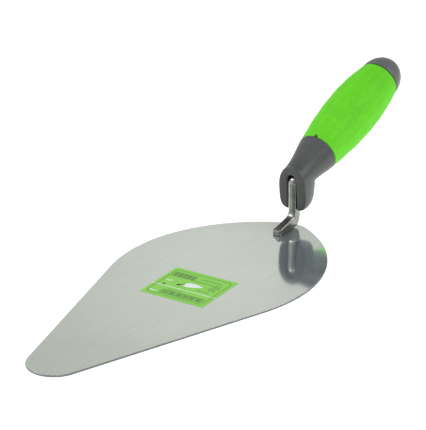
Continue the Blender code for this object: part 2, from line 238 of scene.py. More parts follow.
def blade_steel():
    """Sheet steel, brushed along its length to a near mirror, with painted shade on its rougher side walls.
    """
    n = Nodes("brushed_blade_steel")
    broad = n.noise((30, 420, 30), detail=4)
    fine = n.noise((160, 3200, 160), detail=3)
    cloud = n.noise(26, detail=3, warp=0.6)
    sheen = n.ramp(cloud, [(0.30, (0.61, 0.643, 0.535)), (0.70, (0.65, 0.683, 0.565))])
    streaked = n.mix(n.ramp(broad, [(0.35, 0.0), (0.70, 0.22)]), sheen, (0.50, 0.54, 0.48))
    normal = n.add("NewGeometry").outputs["Normal"]
    axes = n.add("SeparateXYZ")
    n.join(normal, axes.inputs[0])
    # painted shade: faces that are not upright (the side walls) get a dark grey colour for the shaded floor
    # they reflect; the same mask makes them rougher
    edge = n.ramp(n.math("ABSOLUTE", axes.outputs["Z"], 0.0), [(0.35, 1.0), (0.60, 0.0)])
    colour = n.mix(edge, streaked, (0.17, 0.18, 0.17))
    rough = n.ramp(n.math("ADD", n.math("MULTIPLY", cloud, 0.5), n.math("MULTIPLY", fine, 0.5)),
                   [(0.30, 0.075), (0.70, 0.115)])
    rough = n.mix(edge, rough, (0.42, 0.42, 0.42))
    grain = n.math("ADD", n.math("MULTIPLY", broad, 0.6), n.math("MULTIPLY", fine, 0.4))
    along = n.add("SeparateXYZ")
    n.join(n.place, along.inputs[0])
    bowed = n.bump(along.outputs["X"], BLADE_BOW)
    bumped = n.bump(n.noise(11, detail=1), 0.25 * MM, 1.0, bowed)
    bumped = n.bump(grain, 0.002 * MM, 1.0, bumped)
    return n.finish(colour, rough, bumped, Metallic=0.93, Specular_IOR_Level=0.3,
                    Sheen_Weight=0.4, Sheen_Roughness=0.5, Sheen_Tint=(0.4, 0.6, 1.0, 1.0))


SHADED_FOOT_LENGTH = 16 * MM                   # the stretch from the nose on that gets painted shade
FOOT_SHADE_RAMP = [(0.0, 0.15), (0.31, 0.64), (0.75, 0.64), (1.0, 0.0)]      # how strong the painted shade is, along it


def forged_steel():
    """Polished forging: soft hammered waves, grinding marks, dark pits and painted shade on the foot."""
    n = Nodes("polished_forging")
    waves = n.noise(300, detail=2)
    marks = n.noise((500, 3500, 700), detail=3)
    pits = n.noise(900, detail=2)
    colour = n.ramp(waves, [(0.30, (0.235, 0.238, 0.228)), (0.65, (0.34, 0.343, 0.33))])
    colour = n.mix(n.ramp(pits, [(0.68, 0.0), (0.76, 0.6)]), colour, (0.08, 0.08, 0.08))
    axes = n.add("SeparateXYZ")
    n.join(n.place, axes.inputs[0])
    # painted shade: the foot's colour is darkened along the stretch from its nose
    along = n.math("SUBTRACT", axes.outputs["X"], TIP + NOSE[0][0] * MM)
    scale = n.ramp(n.math("DIVIDE", along, SHADED_FOOT_LENGTH), FOOT_SHADE_RAMP)
    colour = n.mix(scale, colour, (0.10, 0.10, 0.098))
    rough = n.ramp(marks, [(0.3, 0.15), (0.7, 0.25)])
    normal = n.bump(waves, 0.05 * MM, 0.6)
    normal = n.bump(marks, 0.004 * MM, 1.0, normal)
    return n.finish(colour, rough, normal, Metallic=0.95)


def weld_metal():
    """Dark raw weld metal with a coarse skin."""
    n = Nodes("weld_metal")
    blobs = n.noise(1400, detail=3)
    colour = n.ramp(blobs, [(0.3, (0.03, 0.03, 0.03)), (0.7, (0.16, 0.16, 0.155))])
    rough = n.ramp(blobs, [(0.3, 0.55), (0.7, 0.35)])
    return n.finish(colour, rough, n.bump(blobs, 0.1 * MM), Metallic=0.8)


def moulded_plastic(name, dark, light, rough_low, rough_high, gloss=0.5, sheen=0.0):
    """Satin moulded plastic: fine spark-eroded grain over faint flow clouds."""
    n = Nodes(name)
    flow = n.noise(90, detail=3, warp=0.8)
    grain = n.noise(2600, detail=2)
    scuffs = n.noise((900, 260, 500), detail=4)
    colour = n.ramp(flow, [(0.3, dark), (0.7, light)])
    colour = n.mix(n.ramp(scuffs, [(0.62, 0.0), (0.80, 0.35)]), colour,
                   tuple(2.0 * c for c in light))
    rough = n.ramp(grain, [(0.3, rough_low), (0.7, rough_high)])
    normal = n.bump(flow, 0.10 * MM, 0.5)
    normal = n.bump(grain, 0.012 * MM, 1.0, normal)
    return n.finish(colour, rough, normal, IOR=1.48, Specular_IOR_Level=gloss,
                    Sheen_Weight=sheen, Sheen_Roughness=0.3)


def soft_grip():
    """Soft green rubber: matt skin with a fine grain and painted shade in its hollows."""
    n = Nodes("green_soft_grip")
    flow = n.noise(70, detail=3, warp=0.7)
    grain = n.noise(2300, detail=3)
    specks = n.noise(700, detail=2)
    colour = n.ramp(flow, [(0.3, (0.122, 0.64, 0.010)), (0.7, (0.142, 0.69, 0.015))])
    colour = n.mix(n.ramp(specks, [(0.70, 0.0), (0.80, 0.25)]), colour, (0.20, 0.50, 0.06))
    # painted shade: the hollows darken towards a deeper green, in uneven patches
    hollow_shade = n.add("Attribute", attribute_name=GROOVE_SHADE).outputs["Fac"]
    shade_patches = n.ramp(n.noise(130, detail=2), [(0.35, 0.13), (0.65, 0.46)])
    colour = n.mix(n.math("MULTIPLY", hollow_shade, shade_patches), colour, (0.13, 0.44, 0.03))
    rough = n.ramp(grain, [(0.3, 0.60), (0.7, 0.72)])
    normal = n.bump(flow, 0.10 * MM, 0.5)
    normal = n.bump(grain, 0.018 * MM, 1.0, normal)
    return n.finish(colour, rough, normal, Specular_IOR_Level=0.28)


def label_film(name, dark, light):
    """Printed film: even ink with the film's faint orange peel."""
    n = Nodes(name)
    ink = n.noise(1500, detail=2)
    peel = n.noise(500, detail=2)
    colour = n.ramp(ink, [(0.3, dark), (0.7, light)])
    rough = n.ramp(peel, [(0.3, 0.30), (0.7, 0.42)])
    return n.finish(colour, rough, n.bump(peel, 0.01 * MM), IOR=1.45)


# ---------------------------------------------------------------- shank and weld

SHANK_HALF_WIDTH = 2.85 * MM
NOSE = ((236.4, 4.8), (236.4, 1.35), 0.75)      # inner edge, outer edge, scale of the width
STATIONS = [                            # (inner edge, outer edge) from the tip and up, in mm
    ((237.3, 5.5), (237.2, 1.32)), ((243.8, 7.1), (244.0, 1.32)), ((250.3, 8.7), (251.6, 1.4)),
    ((252.3, 9.5), (255.3, 1.8)), ((253.3, 10.4), (257.9, 2.9)), ((253.9, 11.7), (259.5, 4.9)),
    ((254.0, 13.4), (260.5, 8.1)), ((253.9, 16.0), (260.6, 13.6)), ((253.3, 30.0), (260.0, 28.3)),
    ((253.4, 32.6), (260.0, 30.3)), ((254.6, 34.8), (260.6, 31.5)), ((257.0, 36.6), (261.5, 32.2)),
]
FOOT_STATIONS = 3                       # after these the crest narrows
CREST_STATIONS = 4                      # over this many stations
STATION_STEPS = 5
NECK_CREST, FOOT_CREST = 0.35, 0.72     # flat part of the inner side, as a share of the width
HEEL_FLAT = 0.72                        # the same on the outer side
SHANK_BEVEL = 0.10                      # bevels beside both flats, as a share of the depth
SHANK_ROUNDING = 0.13                   # how far each corner of the outline is cut back
TANG_STATIONS = ((-23.5, 1.0), (0, 0.95), (58, 0.7))    # along the axis in mm, scale

WELD_START, WELD_END = 236.2, 250.5     # from the tip, in mm
WELD_NOSE = 0.5                         # how far the bead bows out at the nose, in mm
WELD_SIZE, WELD_RIPPLE = 0.36, 0.10     # the bead's radius and its unevenness, in mm
WELD_STRAIGHT = 0.4                     # share of the bead along each side of the foot


def rounded(ring, share):
    """The ring with each corner cut to three points, which rounds its edges."""
    out = []
    count = len(ring)
    for i, corner in enumerate(ring):
        before, after = ring[i - 1], ring[(i + 1) % count]
        start, end = corner.lerp(before, share), corner.lerp(after, share)
        out += [start, 0.5 * corner + 0.25 * (start + end), end]
    return out


def bar_ring(inner, outer, crest, width=1.0):
    """The bar's outline between its inner and outer edge, both (from the tip, up) in mm."""
    inner = Vector((TIP / MM + inner[0], 0, inner[1])) * MM
    outer = Vector((TIP / MM + outer[0], 0, outer[1])) * MM
    outline = [(0, crest), (SHANK_BEVEL, 1), (1 - SHANK_BEVEL, 1), (1, HEEL_FLAT)]
    outline += [(depth, -side) for depth, side in reversed(outline)]
    ring = [inner.lerp(outer, depth) + Vector((0, side * width * SHANK_HALF_WIDTH, 0))
            for depth, side in outline]
    return rounded(ring, SHANK_ROUNDING)


def between(a, b, c, d, t):
    """The Catmull-Rom curve from b to c, with a and d the points before and after."""
    return 0.5 * (2 * b + (c - a) * t + (2 * a - 5 * b + 4 * c - d) * t * t
                  + (3 * b - a - 3 * c + d) * t ** 3)


def smooth_stations(stations, steps):
    """(place in the list, inner and outer edge) along a smooth curve through the stations."""
    data = [np.array(s, float) for s in stations]
    data = [2 * data[0] - data[1]] + data + [2 * data[-1] - data[-2]]
    out = []
    for i in range(1, len(data) - 2):
        for step in range(steps):
            out.append((i - 1 + step / steps, between(*data[i - 1:i + 3], step / steps)))
    out.append((len(data) - 3.0, data[-2]))
    return out


def tang_point(distance, side):
    """(from the tip, up) in mm, of a point that far along the handle's axis and beside it."""
    axis = Vector((cos(HANDLE_ANGLE), 0, sin(HANDLE_ANGLE)))
    up = Vector((-sin(HANDLE_ANGLE), 0, cos(HANDLE_ANGLE)))
    point = SEAM + distance * axis + side * up
    return ((point.x - TIP) / MM, point.z / MM)


def build_shank(material):
    """The forged bar from its nose on the blade to the tang's end inside the core."""
    rings = [bar_ring(NOSE[0], NOSE[1], FOOT_CREST, NOSE[2])]
    for place, (inner, outer) in smooth_stations(STATIONS, STATION_STEPS):
        share = min(1.0, max(0.0, (place - FOOT_STATIONS + 1) / CREST_STATIONS))
        rings.append(bar_ring(inner, outer, FOOT_CREST + (NECK_CREST - FOOT_CREST) * share))
    for distance, width in TANG_STATIONS:
        half = width * SHANK_HALF_WIDTH
        rings.append(bar_ring(tang_point(distance * MM, half), tang_point(distance * MM, -half),
                              NECK_CREST, width))
    count = len(rings[0])
    vertices = [tuple(point) for ring in rings for point in ring]
    faces = []
    for k in range(len(rings) - 1):
        for i in range(count):
            j = (i + 1) % count
            faces.append((k * count + i, k * count + j, (k + 1) * count + j, (k + 1) * count + i))
    last = (len(rings) - 1) * count
    faces += [tuple(reversed(range(count))), tuple(range(last, last + count))]
    shank = add_mesh("shank_forging", vertices, faces, material)
    face_outwards(shank)
    shank.data.set_sharp_from_angle(angle=radians(48))
    return finished(shank, "shank", "shank")


def face_outwards(item):
    """Turns the closed mesh's faces outwards."""
    bm = bmesh.new()
    bm.from_mesh(item.data)
    bmesh.ops.recalc_face_normals(bm, faces=bm.faces)
    bm.to_mesh(item.data)
    bm.free()


def build_weld(material):
    """A thin uneven bead round the foot's edge, where it meets the blade."""
    front = WELD_START + WELD_NOSE
    half = SHANK_HALF_WIDTH / MM * HEEL_FLAT
    back_again = 1 - WELD_STRAIGHT
    steps = 46
    path = []
    for step in range(steps):
        share = step / (steps - 1)
        if share < WELD_STRAIGHT:
            path.append((WELD_END + (front - WELD_END) * share / WELD_STRAIGHT, half))
        elif share <= back_again:
            angle = pi * (share - WELD_STRAIGHT) / (back_again - WELD_STRAIGHT)
            path.append((front - WELD_NOSE * sin(angle), half * cos(angle)))
        else:
            path.append((front + (WELD_END - front) * (share - back_again) / WELD_STRAIGHT, -half))
    vertices, faces = [], []
    sides = 8
    for k, (x, y) in enumerate(path):
        ahead, behind = path[min(k + 1, steps - 1)], path[max(k - 1, 0)]
        along = Vector((ahead[0] - behind[0], ahead[1] - behind[1], 0)).normalized()
        out = Vector((along.y, -along.x, 0))
        size = WELD_SIZE + WELD_RIPPLE * sin(2.3 * k) * sin(0.9 * k + 1)
        for i in range(sides):
            angle = 2 * pi * i / sides
            point = Vector((x, y, 0)) + out * size * cos(angle) + Vector((0, 0, size * sin(angle)))
            vertices.append((TIP + point.x * MM, point.y * MM,
                             max(BLADE_TOP, BLADE_TOP + point.z * MM)))
    for k in range(steps - 1):
        for i in range(sides):
            j = (i + 1) % sides
            faces.append((k * sides + i, k * sides + j, (k + 1) * sides + j, (k + 1) * sides + i))
    faces += [tuple(range(sides)), tuple(range((steps - 1) * sides, steps * sides))]
    weld = add_mesh("weld_bead", vertices, faces, material)
    face_outwards(weld)
    return finished(weld, "foot_weld", "foot_weld")


# ---------------------------------------------------------------- grip

def grip_radius(share):
    """The sleeve's outer radius at a share of its length, without its cells."""
    straight = GRIP_FRONT_RADIUS + (GRIP_REAR_RADIUS - GRIP_FRONT_RADIUS) * share
    return straight + 4 * share * (1 - share) * (GRIP_BULGE - GRIP_SKEW * (0.5 - share))


def smoothstep(low, high, value):
    """0 up to low, 1 from high on, and an S-curve between them."""
    t = np.clip((value - low) / (high - low), 0, 1)
    return t * t * (3 - 2 * t)


def wrapped(angle):
    """The same angle between -pi and pi."""
    return (angle + pi) % (2 * pi) - pi


def cell_distance(along, angle, radius):
    """Distance from the nearest cell's rounded outline, negative inside it."""
    best = np.full(along.shape, 1.0)
    for row in range(CELL_ROWS // 2):
        for side in (1, -1):
            middle = CELL_MIDDLE + side * 2 * pi * (row + 0.5) / CELL_ROWS
            across = wrapped(angle - middle) * radius
            first = CELL_FIRST[row % 2]
            index = np.clip(np.round((along - first) / CELL_PITCH), 0, LAST_CELL[row % 2])
            x = np.abs(along - first - index * CELL_PITCH) - CELL_LENGTH / 2 + CELL_CORNER
            y = np.abs(across) - CELL_WIDTH / 2 + CELL_CORNER
            outside = np.hypot(np.maximum(x, 0), np.maximum(y, 0)) + np.minimum(np.maximum(x, y), 0)
            best = np.minimum(best, outside - CELL_CORNER)
    return best


def build_grip(material):
    """The sleeve as one dense turned mesh, its cells standing proud of shallow channels."""
    around, length_steps = 448, 300
    front, rear = HALF_GAP, GRIP_LENGTH - HALF_GAP - CAP_GROOVE
    shares = np.linspace(0, 1, length_steps + 1)
    angles = np.linspace(0, 2 * pi, around, endpoint=False)
    share, angle = np.meshgrid(shares, angles, indexing="ij")
    along = front + (rear - front) * share
    radius = grip_radius(share)
    away = cell_distance(along, angle, radius)
    channel = smoothstep(-CELL_EDGE, CELL_EDGE, away)
    groove = np.exp(-((away - GROOVE_PLACE) / GROOVE_SPREAD) ** 2)
    from_end = np.minimum(along - front, rear - along)
    ends = smoothstep(0, CELLS_FADE, from_end)
    radius = radius - (CELL_RELIEF * channel + GROOVE_DEPTH * groove) * ends
    reach = KEY_LENGTH + KEY_END_GAP - along
    half_key = (KEY_WIDTH / 2 + KEY_SIDE_GAP) * np.clip(KEY_TIP + reach / KEY_LENGTH, 0, 1)
    inside_key = (np.abs(wrapped(angle - KEY_ANGLE)) * radius < half_key) & (reach > 0)
    radius = np.where(inside_key, radius - KEY_POCKET, radius)
    radius = radius - LIP * (1 - np.sqrt(1 - (1 - from_end / LIP).clip(0, 1) ** 2))
    rings = [(-radius[i] * np.cos(angles), -radius[i] * np.sin(angles), along[i])
             for i in range(length_steps + 1)]
    bore = (-GRIP_BORE * np.cos(angles), -GRIP_BORE * np.sin(angles))
    rings.append((*bore, np.full(around, rear)))
    rings.append((*bore, np.full(around, front)))
    vertices = np.concatenate([np.stack(ring, axis=1) for ring in rings])
    faces = []
    total = len(rings)
    for k in range(total):
        low, high = k * around, ((k + 1) % total) * around
        for i in range(around):
            j = (i + 1) % around
            faces.append((low + i, low + j, high + j, high + i))
    grip = add_mesh("grip_moulding", vertices.tolist(), faces, material)
    grip.data.transform(handle_matrix())
    face_outwards(grip)
    # the painted shade of grooves and channels, kept on the mesh for the material
    shade_weights = grip.data.attributes.new(GROOVE_SHADE, "FLOAT", "POINT")
    values = np.zeros(len(vertices), np.float32)
    values[:groove.size] = ((SHADE_IN_GROOVE * groove + SHADE_IN_CHANNEL * channel) * ends).ravel()
    shade_weights.data.foreach_set("value", values)
    grip.data.set_sharp_from_angle(angle=radians(60))
    return finished(grip, "grip_sleeve", "grip_sleeve")


# ---------------------------------------------------------------- collar

# The taper runs along the handle's axis. The column under it, the shroud, stands upright.
WAIST_RADIUS = 9.7 * MM
TAPER_LENGTH = 26.0 * MM
TAPER_WAVE = 0.45                       # share of an S-curve in the taper's profile
COLLAR_LENGTH = 40.0 * MM
SHROUD_HALF_WIDTH = 10.3 * MM
SHROUD_WIDEST = 28.5 * MM               # height at which it is widest
SHROUD_TOP = 43.4 * MM
SHROUD_BOTTOM = 13.2 * MM
ARCH_POWER = 2.1                        # squareness of the outline above and below that height
LOBE_POWER = 4.2
SHROUD_FLAT_END = 257.0 * MM            # from the tip: where its sides start to round
SHROUD_REAR = 274.6 * MM
SHROUD_REAR_RISE = 10.0 * MM
SHROUD_CLOSED = 0.985                   # the rounded back ends flat at this share of its depth
REAR_LEAN = 0.12
REAR_LEAN_FROM = 20.0 * MM
FRONT_TOP = Vector((252.5 * MM, 0, 43.8 * MM))      # the front face's upper edge, from the tip
FRONT_TILT = radians(5.5)
FRONT_SPARE = 4 * MM                    # the column starts this far ahead, and is then cut
FRONT_BLOCK = Vector((20 * MM, 40 * MM, 80 * MM))
FRONT_BLOCK_DROP = 15 * MM
SLOT_HALF_WIDTH = 3.2 * MM
SLOT_SIDE = 0.25 * MM                   # the slot sits a little to one side of the neck
SLOT_TOP = 37.6 * MM
SLOT_BACK = 261.6 * MM
SLOT_PAST_BOTTOM, SLOT_PAST_FRONT = 6 * MM, 8 * MM      # how far its cutter reaches out
CORE_NECK_RADIUS = 7.2 * MM
CORE_NECK_LENGTH = 15.5 * MM
CORE_GAP = 2 * HALF_GAP
SOCKET_PAST_SEAM = 5 * MM
TANG_BORE = 3.9 * MM
TANG_HOLE = (-31 * MM, -10 * MM)        # along the axis, from the slot to the core's socket
SEAM_CRISP = (0.3 * MM, 1.9 * MM)       # ahead of the seam, where the rounding sets in
COLLAR_VOXEL = 0.32 * MM
EDGE_ROUNDING = 26                      # smoothing passes over the remeshed collar


def lofted(name, rings):
    """A closed body through rings with the same number of points."""
    bm = bmesh.new()
    loops = [[bm.verts.new(point) for point in ring] for ring in rings]
    count = len(rings[0])
    for low, high in zip(loops, loops[1:]):
        for i in range(count):
            j = (i + 1) % count
            bm.faces.new((low[i], low[j], high[j], high[i]))
    bm.faces.new(list(reversed(loops[0])))
    bm.faces.new(loops[-1])
    bmesh.ops.recalc_face_normals(bm, faces=bm.faces)
    mesh = bpy.data.meshes.new(name)
    bm.to_mesh(mesh)
    bm.free()
    return link(bpy.data.objects.new(name, mesh))


def circle_ring(radius, height, steps=120):
    """A circle round the Z axis."""
    return [(radius * cos(2 * pi * i / steps), radius * sin(2 * pi * i / steps), height)
            for i in range(steps)]


def taper_body():
    """The round taper along the handle's axis, from the seam to ahead of the front face."""
    rings = [circle_ring(GRIP_FRONT_RADIUS, -HALF_GAP)]
    steps = 30
    for step in range(1, steps + 1):
        share = step / steps
        ease = share * share * (3 - 2 * share)
        blend = TAPER_WAVE * ease + (1 - TAPER_WAVE) * share * (2 - share)
        radius = GRIP_FRONT_RADIUS + (WAIST_RADIUS - GRIP_FRONT_RADIUS) * blend
        rings.append(circle_ring(radius, -HALF_GAP - TAPER_LENGTH * share))
    rings.append(circle_ring(WAIST_RADIUS, -COLLAR_LENGTH))
    body = lofted("collar_taper", rings)
    body.data.transform(handle_matrix())
    return body


def shroud_ring(x):
    """The column's outline at one distance from the tip: an arch above two squarish lobes."""
    share = max(0.0, (x - SHROUD_FLAT_END) / (SHROUD_REAR - SHROUD_FLAT_END))
    full = sqrt(1 - share * share)
    bottom = SHROUD_BOTTOM + SHROUD_REAR_RISE * (1 - full)
    ring = []
    steps = 96
    for step in range(steps):
        angle = 2 * pi * step / steps
        power = ARCH_POWER if sin(angle) >= 0 else LOBE_POWER
        reach = SHROUD_TOP - SHROUD_WIDEST if sin(angle) >= 0 else SHROUD_WIDEST - bottom
        y = SHROUD_HALF_WIDTH * full * copysign(abs(cos(angle)) ** (2 / power), cos(angle))
        z = SHROUD_WIDEST + reach * copysign(abs(sin(angle)) ** (2 / power), sin(angle))
        lean = REAR_LEAN * max(0.0, z - REAR_LEAN_FROM) * share
        ring.append((TIP + x + lean, y, z))
    return ring


def shroud_body():
    """The column, straight at the front and rounded towards its back."""
    rings = [shroud_ring(FRONT_TOP.x - FRONT_SPARE)]
    steps = 24
    for step in range(steps + 1):
        share = SHROUD_CLOSED * sin((pi / 2) * step / steps)
        rings.append(shroud_ring(SHROUD_FLAT_END + (SHROUD_REAR - SHROUD_FLAT_END) * share))
    return lofted("collar_shroud", rings)


def box(name, size, matrix):
    """A block, its middle placed by the matrix."""
    mesh = bpy.data.meshes.new(name)
    bm = bmesh.new()
    bmesh.ops.create_cube(bm, size=1)
    bmesh.ops.scale(bm, vec=size, verts=bm.verts)
    bm.to_mesh(mesh)
    bm.free()
    mesh.transform(matrix)
    return link(bpy.data.objects.new(name, mesh))


def front_cutter():
    """A block that cuts the leaning front face."""
    lean = Matrix.Rotation(-FRONT_TILT, 4, "Y")
    middle = lean @ Vector((-FRONT_BLOCK.x / 2, 0, -FRONT_BLOCK_DROP))
    place = Vector((TIP, 0, 0)) + FRONT_TOP + middle
    return box("front_cutter", FRONT_BLOCK, Matrix.Translation(place) @ lean)


def slot_cutter():
    """The slot for the neck: round at its top, open at the front and the bottom."""
    bottom = SHROUD_BOTTOM - SLOT_PAST_BOTTOM
    centre = SLOT_TOP - SLOT_HALF_WIDTH
    outline = [(SLOT_SIDE + SLOT_HALF_WIDTH, bottom)]
    for step in range(25):
        angle = pi * step / 24
        outline.append((SLOT_SIDE + SLOT_HALF_WIDTH * cos(angle), centre + SLOT_HALF_WIDTH * sin(angle)))
    outline.append((SLOT_SIDE - SLOT_HALF_WIDTH, bottom))
    front = FRONT_TOP.x - SLOT_PAST_FRONT
    return lofted("slot_cutter", [[(TIP + x, y, z) for y, z in outline] for x in (front, SLOT_BACK)])


def bore_cutter(name, radius, start, end):
    """A round bar along the handle's axis."""
    cutter = lofted(name, [circle_ring(radius, start, 64), circle_ring(radius, end, 64)])
    cutter.data.transform(handle_matrix())
    return cutter


def combined(item, other, operation):
    """Joins or cuts the item with the other body, which is then removed."""
    change = item.modifiers.new(operation, "BOOLEAN")
    change.operation = operation
    change.solver = "EXACT"
    change.object = other
    apply_modifiers(item)
    bpy.data.objects.remove(other, do_unlink=True)


def relax(item, passes, hold):
    """Rounds the mesh's edges by averaging neighbours, and not at all where hold gives 0."""
    mesh = item.data
    count = len(mesh.vertices)
    points = np.zeros(count * 3)
    mesh.vertices.foreach_get("co", points)
    points = points.reshape(-1, 3)
    edges = np.zeros(len(mesh.edges) * 2, int)
    mesh.edges.foreach_get("vertices", edges)
    edges = edges.reshape(-1, 2)
    weight = hold(points)[:, None]
    degree = np.bincount(edges.ravel(), minlength=count)[:, None]
    for _ in range(passes):
        total = np.zeros_like(points)
        for k in range(3):
            total[:, k] = (np.bincount(edges[:, 0], points[edges[:, 1], k], count)
                           + np.bincount(edges[:, 1], points[edges[:, 0], k], count))
        points += 0.5 * weight * (total / degree - points)
    mesh.vertices.foreach_set("co", points.ravel())
    mesh.update()


def seam_hold(points):
    """0 at the seam's rim, which stays crisp, rising to 1 ahead of it."""
    axis = np.array([cos(HANDLE_ANGLE), 0, sin(HANDLE_ANGLE)])
    ahead = -((points - np.array(SEAM)) @ axis)
    return smoothstep(*SEAM_CRISP, ahead)


def key_body():
    """The key on the seam: a low wedge that points at the cap and stands a little proud."""
    rings = []
    foot = -2 * HALF_GAP
    for proud, size in ((-KEY_ROOT, 1.0), (0.02 * MM, 1.0), (KEY_HEIGHT, 0.8)):
        up = -(GRIP_FRONT_RADIUS + proud)
        half, tip, end = size * KEY_WIDTH / 2, size * KEY_TIP * KEY_WIDTH / 2, size * KEY_LENGTH
        rings.append([(up, -half, foot), (up, half, foot), (up, tip, end), (up, -tip, end)])
    key = lofted("seam_key", rings)
    key.data.transform(handle_matrix() @ Matrix.Rotation(KEY_ANGLE, 4, "Z"))
    return key


def build_collar(material):
    """Taper and column in one, cut out, remeshed evenly and smoothed, then given its key."""
    collar = taper_body()
    collar.name = "collar_moulding"
    combined(collar, shroud_body(), "UNION")
    combined(collar, front_cutter(), "DIFFERENCE")
    combined(collar, slot_cutter(), "DIFFERENCE")
    combined(collar, bore_cutter("tang_hole", TANG_BORE, *TANG_HOLE), "DIFFERENCE")
    combined(collar, bore_cutter("core_socket", CORE_NECK_RADIUS + CORE_GAP,
                                 -CORE_NECK_LENGTH - CORE_GAP, SOCKET_PAST_SEAM), "DIFFERENCE")
    remesh = collar.modifiers.new("Even mesh", "REMESH")
    remesh.mode = "VOXEL"
    remesh.voxel_size = COLLAR_VOXEL * 1
    apply_modifiers(collar)
    relax(collar, EDGE_ROUNDING, seam_hold)
    combined(collar, key_body(), "UNION")
    collar.data.shade_smooth()
    collar.data.set_sharp_from_angle(angle=radians(50))
    collar.data.materials.clear()
    collar.data.materials.append(material)
    return finished(collar, "front_collar", "front_collar")


# ---------------------------------------------------------------- label

LABEL_TWIST = radians(3.4)
LABEL_LENGTH, LABEL_WIDTH = 41.1 * MM, 44.8 * MM
LABEL_CENTRE = (label_low + label_high) / 2
LABEL_CORNER = 0.7 * MM
FILM = 0.10 * MM
INK = 0.012 * MM
BORDER = (35.5 * MM, 40.3 * MM, 3.0 * MM)       # length, width and corner of the dark frame
BORDER_LINE = 0.35 * MM
RULE_PLACE, RULE_WIDTH = -5.7 * MM, 0.62 * MM

# The print, all in mm on the label: X towards the handle, Y across.
WHITE_MARKS = (                         # x, y, length, width
    (2.5, 17.2, 1.0, 1.4), (1.8, 15.9, 1.2, 1.2), (2.7, 14.6, 1.5, 1.5),
    (-14.7, 18.0, 1.1, 1.5), (-15.1, 16.3, 1.2, 1.4), (-14.6, 14.8, 0.9, 1.0),
)
TEXT_LINES = (                          # place along X, then start and end across
    (12.9, -1.4, -14.9), (8.8, 2.5, -10.4), (9.6, -12.4, -16.6), (7.6, -11.2, -16.8),
    (5.6, -12.0, -17.1), (3.6, -10.8, -16.8), (1.6, -12.4, -16.9), (-1.9, -6.6, -15.4),
)
DASH_WIDTH, DASH_GAP = 0.68, 0.38
BARS, BARS_X, BARS_START, BARS_HEIGHT = 16, 11.8, 18.7, 6.6
BLOCKS, BLOCKS_X, BLOCKS_START = 13, -13.2, 11.7
BLOCK_HEIGHT, BLOCK_LINE, BLOCK_GAP = 5.5, 0.4, 0.46
STROKE_LENGTH = 2.6                     # of the stroke inside every second block
HANDLE_PARTS = (                        # of the pictogram: x, y, length, width
    (-0.7, 7.3, 2.1, 2.7), (0.6, 5.8, 1.4, 1.2), (1.7, 4.8, 1.6, 1.0),
)


def label_matrix():
    """Puts a sheet drawn round its own middle on the blade, with the label's twist."""
    place = Matrix.Translation((LABEL_CENTRE.x, LABEL_CENTRE.y, BLADE_TOP))
    return place @ Matrix.Rotation(LABEL_TWIST, 4, "Z")


def rounded_outline(length, width, corner, steps=6):
    """A rectangle with round corners, about its middle."""
    points = []
    for sx, sy, start in ((1, 1, 0), (-1, 1, pi / 2), (-1, -1, pi), (1, -1, 3 * pi / 2)):
        for step in range(steps + 1):
            angle = start + (pi / 2) * step / steps
            points.append((sx * (length / 2 - corner) + corner * cos(angle),
                           sy * (width / 2 - corner) + corner * sin(angle)))
    return points


class Sheet:
    """Flat shapes with a thickness, gathered into one mesh."""

    def __init__(self, low, high):
        self.low, self.high = low, high
        self.vertices, self.faces = [], []

    def shape(self, outline):
        start, count = len(self.vertices), len(outline)
        self.vertices += [(x, y, self.low) for x, y in outline]
        self.vertices += [(x, y, self.high) for x, y in outline]
        self.faces.append(tuple(start + i for i in reversed(range(count))))
        self.faces.append(tuple(start + count + i for i in range(count)))
        for i in range(count):
            j = (i + 1) % count
            self.faces.append((start + i, start + j, start + count + j, start + count + i))

    def bar(self, x, y, length, width):
        self.shape([(x - length / 2, y - width / 2), (x + length / 2, y - width / 2),
                    (x + length / 2, y + width / 2), (x - length / 2, y + width / 2)])

    def frame(self, outer, inner):
        count = len(outer)
        for i in range(count):
            j = (i + 1) % count
            self.shape([outer[i], outer[j], inner[j], inner[i]])

    def build(self, name, material, slot, *replaced):
        item = add_mesh(name, self.vertices, self.faces, material, smooth=False)
        item.data.transform(label_matrix())
        face_outwards(item)
        return finished(item, slot, *replaced)


def build_label(film, dark_ink, white_ink):
    """A film with a border, a bar block, dummy text lines, a rule and a trowel pictogram."""
    base = Sheet(0.0, FILM)
    base.shape(rounded_outline(LABEL_LENGTH, LABEL_WIDTH, LABEL_CORNER))
    base.build("label_film", film, "label", "label")

    dark, white = Sheet(FILM, FILM + INK), Sheet(FILM, FILM + INK)
    length, width, corner = BORDER
    dark.frame(rounded_outline(length, width, corner),
               rounded_outline(length - 2 * BORDER_LINE, width - 2 * BORDER_LINE, corner - BORDER_LINE))
    draw_bar_block(dark)
    draw_text_lines(dark)
    draw_title_blocks(dark)
    draw_pictogram(dark, white)
    white.bar(RULE_PLACE, 0, RULE_WIDTH, LABEL_WIDTH)
    for x, y, length, width in WHITE_MARKS:
        white.bar(x * MM, y * MM, length * MM, width * MM)
    dark.build("label_dark_print", dark_ink, "label")
    white.build("label_white_print", white_ink, "label")


def draw_bar_block(dark):
    """Upright bars of uneven width, side by side across the label."""
    y = BARS_START
    for k in range(BARS):
        width = (0.42, 0.75, 0.35, 0.60)[(k * 7 + k // 3) % 4]
        gap = (0.42, 0.72, 0.50)[(k * 5 + 1) % 3]
        dark.bar(BARS_X * MM, (y - width / 2) * MM, BARS_HEIGHT * MM, width * MM)
        y -= width + gap


def draw_text_lines(dark):
    """Rows of small dashes in the place of text, with no letters."""
    for r, (x, start, end) in enumerate(TEXT_LINES):
        y, k = start, 0
        while y > end:
            length = (0.95, 0.6, 1.2, 0.8)[(k * 3 + r) % 4]
            dark.bar(x * MM, (y - length / 2) * MM, DASH_WIDTH * MM, length * MM)
            y -= length + DASH_GAP
            k += 1


